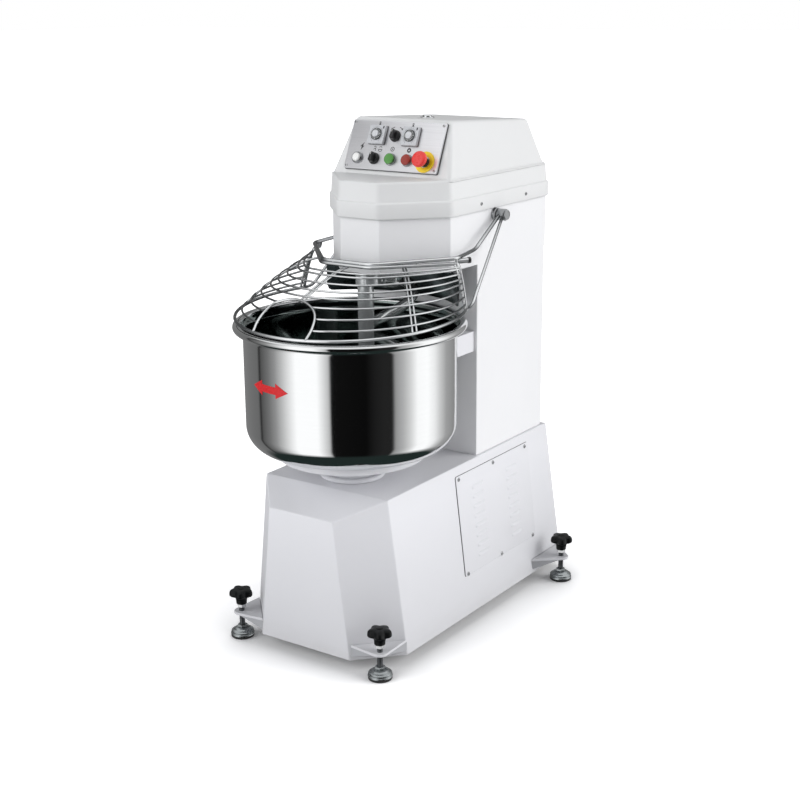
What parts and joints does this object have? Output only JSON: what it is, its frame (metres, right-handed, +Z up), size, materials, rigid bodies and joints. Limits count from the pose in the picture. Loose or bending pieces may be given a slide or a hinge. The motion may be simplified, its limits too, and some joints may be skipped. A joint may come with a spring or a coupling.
{
  "type": "spiral dough mixer",
  "caption": "Floor-standing spiral dough mixer: white base, column and head, turning steel bowl with spiral hook and breaker bar, tilting wire guard, sloping operator panel, levelling feet.",
  "frame": {"origin": "on the floor, at the centre of the footprint: the middle of the width and of the overall depth, at the underside of the feet", "axes": "+Z up; -Y is the front, the side of the bowl and the operator panel; +X is to the right of a person standing in front and looking at the machine"},
  "size_m": [0.6272, 0.9538, 1.286],
  "materials": {
    "white_paint": "semi-gloss white powder coat",
    "cover_white": "fine-textured moulded cover",
    "mirror_steel": "mirror-polished stainless steel",
    "brushed_steel": "brushed stainless steel",
    "chrome": "bright plated steel wire and bolts",
    "zinc_plate": "zinc plated",
    "dark_steel": "dark rolled steel",
    "cast_iron": "machined casting",
    "motor_paint": "satin motor enamel",
    "black_plastic": "fine matt black",
    "grey_plastic": "light grey moulded",
    "white_lens": "clear-white lens",
    "green_plastic": "gloss",
    "dark_red_plastic": "gloss",
    "red_plastic": "gloss",
    "yellow_plastic": "satin",
    "belt_rubber": "ribbed drive belt",
    "nylon": "turned nylon"
  },
  "bodies": {
    "frame": {"base_access_panel": "white_paint", "base_casing": "white_paint", "base_frame": "dark_steel", "bowl_bearing_housing": "white_paint", "bowl_drive_belt": "belt_rubber", "bowl_motor": "motor_paint", "bowl_roller_bracket_left": "white_paint", "bowl_roller_bracket_right": "white_paint", "breaker_bar": "brushed_steel", "column_casing": "white_paint", "control_panel": "brushed_steel", "electrical_box": "grey_plastic", "estop_plate": "yellow_plastic", "foot_bracket_front_left": "white_paint", "foot_bracket_front_right": "white_paint", "foot_bracket_rear_left": "white_paint", "foot_bracket_rear_right": "white_paint", "guard_pivot_pin_left": "chrome", "guard_pivot_pin_right": "chrome", "head_bottom_plate": "dark_steel", "head_cover": "cover_white", "lifting_bolt": "chrome", "power_lamp": "white_lens", "rear_bowl_shield": "brushed_steel", "rear_cover": "white_paint", "spiral_bearing_housing": "cast_iron", "spiral_drive_belt": "belt_rubber", "spiral_motor": "motor_paint", "timer_left_body": "grey_plastic", "timer_right_body": "grey_plastic"},
    "bowl_assembly": {"bowl": "mirror_steel", "bowl_support_disc": "white_paint", "bowl_shaft": "dark_steel", "bowl_pulley": "cast_iron"},
    "bowl_motor_rotor": {"bowl_motor_pulley": "cast_iron"},
    "spiral_assembly": {"spiral_hook": "mirror_steel", "spiral_shaft": "dark_steel", "spiral_pulley": "cast_iron"},
    "spiral_motor_rotor": {"spiral_motor_pulley": "cast_iron"},
    "roller_right": {"bowl_roller_right": "nylon"},
    "roller_left": {"bowl_roller_left": "nylon"},
    "guard": {"guard_cage": "chrome", "guard_end_cap_right": "black_plastic", "guard_end_cap_left": "black_plastic"},
    "start_push": {"start_button": "green_plastic"},
    "stop_push": {"stop_button": "dark_red_plastic"},
    "estop_plunger": {"estop_stem": "black_plastic"},
    "estop_head": {"estop_button": "red_plastic"},
    "speed_switch": {"speed_selector": "black_plastic"},
    "mode_switch": {"mode_selector": "black_plastic"},
    "timer_left_knob": {"timer_left_dial": "black_plastic"},
    "timer_right_knob": {"timer_right_dial": "black_plastic"},
    "foot_pad_front_left_body": {"foot_pad_front_left": "zinc_plate"},
    "foot_screw_front_left_body": {"foot_screw_front_left": "black_plastic"},
    "foot_pad_front_right_body": {"foot_pad_front_right": "zinc_plate"},
    "foot_screw_front_right_body": {"foot_screw_front_right": "black_plastic"},
    "foot_pad_rear_left_body": {"foot_pad_rear_left": "zinc_plate"},
    "foot_screw_rear_left_body": {"foot_screw_rear_left": "black_plastic"},
    "foot_pad_rear_right_body": {"foot_pad_rear_right": "zinc_plate"},
    "foot_screw_rear_right_body": {"foot_screw_rear_right": "black_plastic"}
  },
  "joints": [
    {"name": "bowl_spin", "type": "hinge", "parent": "frame", "child": "bowl_assembly", "pos_m": [0, -0.1924, 0], "axis": [0, 0, 1], "continuous": true},
    {"name": "bowl_motor_spin", "type": "hinge", "parent": "frame", "child": "bowl_motor_rotor", "pos_m": [0, 0.0756, 0], "axis": [0, 0, 1], "continuous": true},
    {"name": "roller_right_spin", "type": "hinge", "parent": "frame", "child": "roller_right", "pos_m": [0.143, 0.04984, 0.7], "axis": [0, 0, 1], "continuous": true},
    {"name": "roller_left_spin", "type": "hinge", "parent": "frame", "child": "roller_left", "pos_m": [-0.143, 0.04984, 0.7], "axis": [0, 0, 1], "continuous": true},
    {"name": "spiral_spin", "type": "hinge", "parent": "frame", "child": "spiral_assembly", "pos_m": [0, -0.0254, 0], "axis": [0, 0, 1], "continuous": true},
    {"name": "spiral_motor_spin", "type": "hinge", "parent": "frame", "child": "spiral_motor_rotor", "pos_m": [0, 0.2876, 0], "axis": [0, 0, 1], "continuous": true},
    {"name": "guard_lift", "type": "hinge", "parent": "frame", "child": "guard", "pos_m": [0, 0.1841, 1.038], "axis": [-1, 0, 0], "range_deg": [0, 60]},
    {"name": "start_press", "type": "slide", "parent": "frame", "child": "start_push", "axis": [0, 0.918, -0.3965], "range_m": [0, 0.004], "stiffness_N_per_m": 400},
    {"name": "stop_press", "type": "slide", "parent": "frame", "child": "stop_push", "axis": [0, 0.918, -0.3965], "range_m": [0, 0.004], "stiffness_N_per_m": 400},
    {"name": "estop_press", "type": "slide", "parent": "frame", "child": "estop_plunger", "axis": [0, 0.918, -0.3965], "range_m": [0, 0.006], "stiffness_N_per_m": 600},
    {"name": "estop_twist", "type": "hinge", "parent": "estop_plunger", "child": "estop_head", "pos_m": [0.101, -0.00537, 1.17687], "axis": [0, -0.918, 0.3965], "range_deg": [-45, 0], "stiffness_Nm_per_rad": 0.05},
    {"name": "speed_select", "type": "hinge", "parent": "frame", "child": "speed_switch", "pos_m": [-0.003, 0.01921, 1.23379], "axis": [0, -0.918, 0.3965], "range_deg": [-45, 45]},
    {"name": "mode_select", "type": "hinge", "parent": "frame", "child": "mode_switch", "pos_m": [-0.0512, -0.00458, 1.17871], "axis": [0, -0.918, 0.3965], "range_deg": [-45, 45]},
    {"name": "timer_left_turn", "type": "hinge", "parent": "frame", "child": "timer_left_knob", "pos_m": [-0.0545, 0.01921, 1.23379], "axis": [0, 0.918, -0.3965], "range_deg": [0, 300]},
    {"name": "timer_right_turn", "type": "hinge", "parent": "frame", "child": "timer_right_knob", "pos_m": [0.0448, 0.01921, 1.23379], "axis": [0, 0.918, -0.3965], "range_deg": [0, 300]},
    {"name": "foot_front_left_height", "type": "slide", "parent": "frame", "child": "foot_pad_front_left_body", "axis": [0, 0, -1], "range_m": [-0.01, 0.01]},
    {"name": "foot_front_left_screw", "type": "hinge", "parent": "foot_pad_front_left_body", "child": "foot_screw_front_left_body", "pos_m": [-0.2152, -0.3856, 0.1], "axis": [0, 0, -1], "range_deg": [-1801, 1801]},
    {"name": "foot_front_right_height", "type": "slide", "parent": "frame", "child": "foot_pad_front_right_body", "axis": [0, 0, -1], "range_m": [-0.01, 0.01]},
    {"name": "foot_front_right_screw", "type": "hinge", "parent": "foot_pad_front_right_body", "child": "foot_screw_front_right_body", "pos_m": [0.2152, -0.3856, 0.1], "axis": [0, 0, -1], "range_deg": [-1801, 1801]},
    {"name": "foot_rear_left_height", "type": "slide", "parent": "frame", "child": "foot_pad_rear_left_body", "axis": [0, 0, -1], "range_m": [-0.01, 0.01]},
    {"name": "foot_rear_left_screw", "type": "hinge", "parent": "foot_pad_rear_left_body", "child": "foot_screw_rear_left_body", "pos_m": [-0.2836, 0.3868, 0.1], "axis": [0, 0, -1], "range_deg": [-1801, 1801]},
    {"name": "foot_rear_right_height", "type": "slide", "parent": "frame", "child": "foot_pad_rear_right_body", "axis": [0, 0, -1], "range_m": [-0.01, 0.01]},
    {"name": "foot_rear_right_screw", "type": "hinge", "parent": "foot_pad_rear_right_body", "child": "foot_screw_rear_right_body", "pos_m": [0.2836, 0.3868, 0.1], "axis": [0, 0, -1], "range_deg": [-1801, 1801]}
  ],
  "couplings": [
    {"joint": "bowl_motor_spin", "follows": "bowl_spin", "ratio": 4.1667},
    {"joint": "roller_right_spin", "follows": "bowl_spin", "ratio": -13.025},
    {"joint": "roller_left_spin", "follows": "bowl_spin", "ratio": -13.025},
    {"joint": "spiral_motor_spin", "follows": "spiral_spin", "ratio": 2.4},
    {"joint": "foot_front_left_screw", "follows": "foot_front_left_height", "rad_per_m": 3141.6},
    {"joint": "foot_front_right_screw", "follows": "foot_front_right_height", "rad_per_m": 3141.6},
    {"joint": "foot_rear_left_screw", "follows": "foot_rear_left_height", "rad_per_m": 3141.6},
    {"joint": "foot_rear_right_screw", "follows": "foot_rear_right_height", "rad_per_m": 3141.6}
  ]
}
